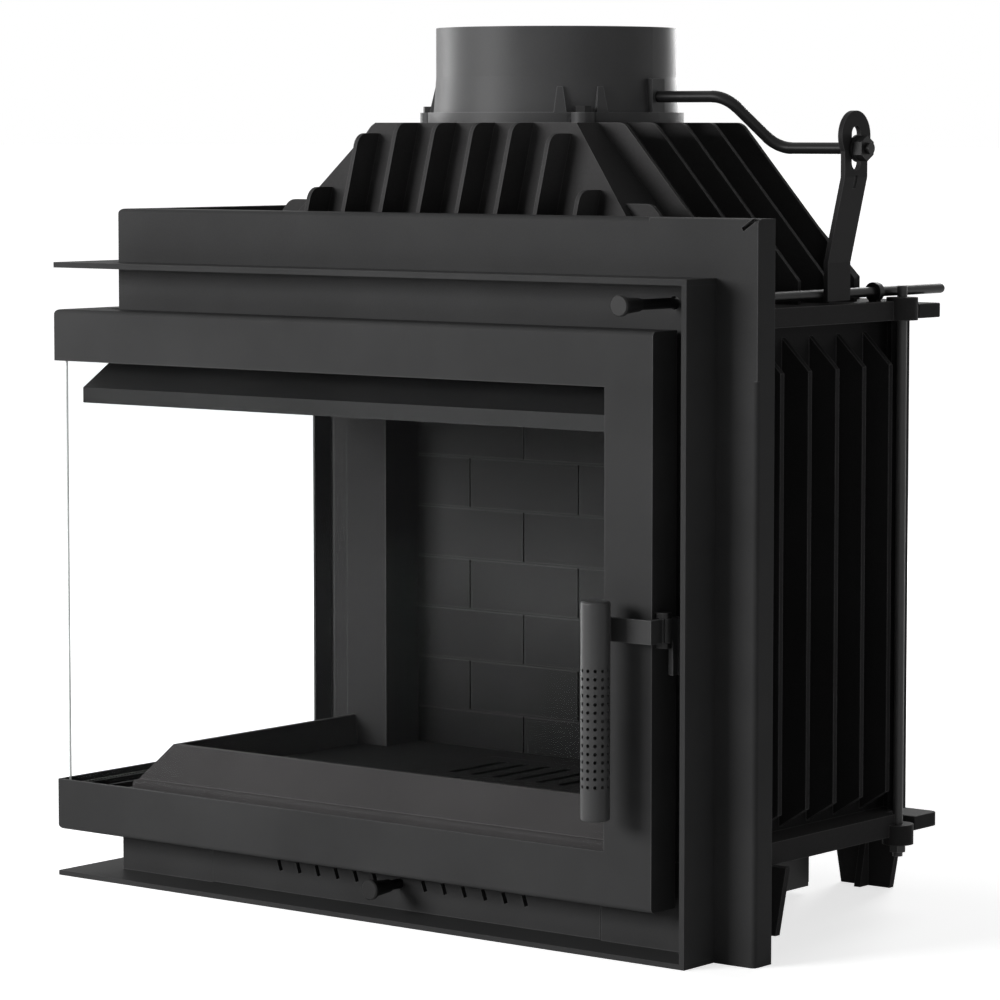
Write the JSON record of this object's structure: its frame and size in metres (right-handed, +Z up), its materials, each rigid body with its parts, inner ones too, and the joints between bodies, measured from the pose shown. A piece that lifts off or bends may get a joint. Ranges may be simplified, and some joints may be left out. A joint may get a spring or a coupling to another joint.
{
  "type": "corner fireplace insert",
  "caption": "Cast and sheet steel fireplace insert with a glazed door that wraps the left corner, ribbed smoke hood, round flue spigot and a damper worked by a pull rod and crank",
  "frame": {"origin": "middle of the base on the floor", "axes": "+Z up, +X to the right seen from the front, -Y to the front"},
  "size_m": [0.6746, 0.4417, 0.6948],
  "materials": {
    "sheet_paint": "satin heat-resistant paint",
    "door_paint": "satin heat-resistant paint",
    "cast_paint": "painted cast surface",
    "flue_paint": "smooth painted casting",
    "lining_iron": "matt cast surface",
    "black_steel": "black painted steel",
    "grip_paint": "satin heat-resistant paint",
    "rope_seal": "braided ceramic rope",
    "window_glass": "clear heat-proof glass"
  },
  "bodies": {
    "body": {"portal_frame": "sheet_paint", "portal_left_jamb": "sheet_paint", "top_trim": "sheet_paint", "side_trim": "sheet_paint", "bottom_trim": "sheet_paint", "fascia_left": "sheet_paint", "fascia_centre": "sheet_paint", "fascia_right": "sheet_paint", "base_plate": "cast_paint", "feet": "cast_paint", "right_wall": "cast_paint", "rear_wall": "cast_paint", "rear_left_column": "cast_paint", "top_plate": "cast_paint", "tie_rods": "black_steel", "smoke_hood": "cast_paint", "flue_spigot": "flue_paint", "collar_bolts": "black_steel", "fireback": "lining_iron", "right_liner": "lining_iron", "hearth_lip": "lining_iron", "firebox_floor": "lining_iron", "grate": "lining_iron", "baffle": "lining_iron", "baffle_rests": "black_steel", "air_wash_deflector": "black_steel", "rod_guides": "black_steel", "latch_keeper": "black_steel", "keeper_pin": "black_steel", "hinge_brackets": "black_steel", "hinge_pins": "black_steel", "drawer_runners": "black_steel"},
    "door": {"door_frame": "door_paint", "hinge_bushes": "black_steel", "front_glass": "window_glass", "side_glass": "window_glass", "glass_gasket": "rope_seal", "glass_retainers": "black_steel", "door_seal": "rope_seal", "handle_bracket": "black_steel", "handle_pin": "black_steel"},
    "handle": {"handle_lever": "black_steel", "handle_grip": "grip_paint", "grip_caps": "grip_paint"},
    "control": {"control_rod": "black_steel", "control_knob": "black_steel", "damper_strap": "black_steel"},
    "damper": {"damper_crank": "black_steel", "damper_disc": "black_steel", "crank_nut": "black_steel"},
    "drawer": {"ash_drawer_front": "sheet_paint", "ash_tray": "black_steel"},
    "air_valve": {"air_valve_plate": "black_steel", "air_valve_stem": "black_steel", "air_knob": "black_steel"}
  },
  "joints": [
    {"name": "door_hinge", "type": "hinge", "parent": "body", "child": "door", "pos_m": [-0.3213, 0.15215, 0.25], "axis": [0, 0, -1], "range_deg": [0, 95]},
    {"name": "handle_turn", "type": "hinge", "parent": "door", "child": "handle", "pos_m": [0.2772, -0.17485, 0.25], "axis": [0, 0, 1], "range_deg": [-8, 16]},
    {"name": "damper_slide", "type": "slide", "parent": "body", "child": "control", "axis": [0, -1, 0], "range_m": [0, 0.06]},
    {"name": "damper_turn", "type": "hinge", "parent": "body", "child": "damper", "pos_m": [0.01675, 0.03015, 0.64], "axis": [-1, 0, 0], "range_deg": [0, 73.75]},
    {"name": "ash_drawer_slide", "type": "slide", "parent": "body", "child": "drawer", "axis": [0, -1, 0], "range_m": [0, 0.2]},
    {"name": "air_valve_slide", "type": "slide", "parent": "drawer", "child": "air_valve", "axis": [0, 1, 0], "range_m": [0, 0.012]}
  ],
  "couplings": [
    {"joint": "damper_turn", "follows": "damper_slide", "rad_per_m": 21.45}
  ]
}
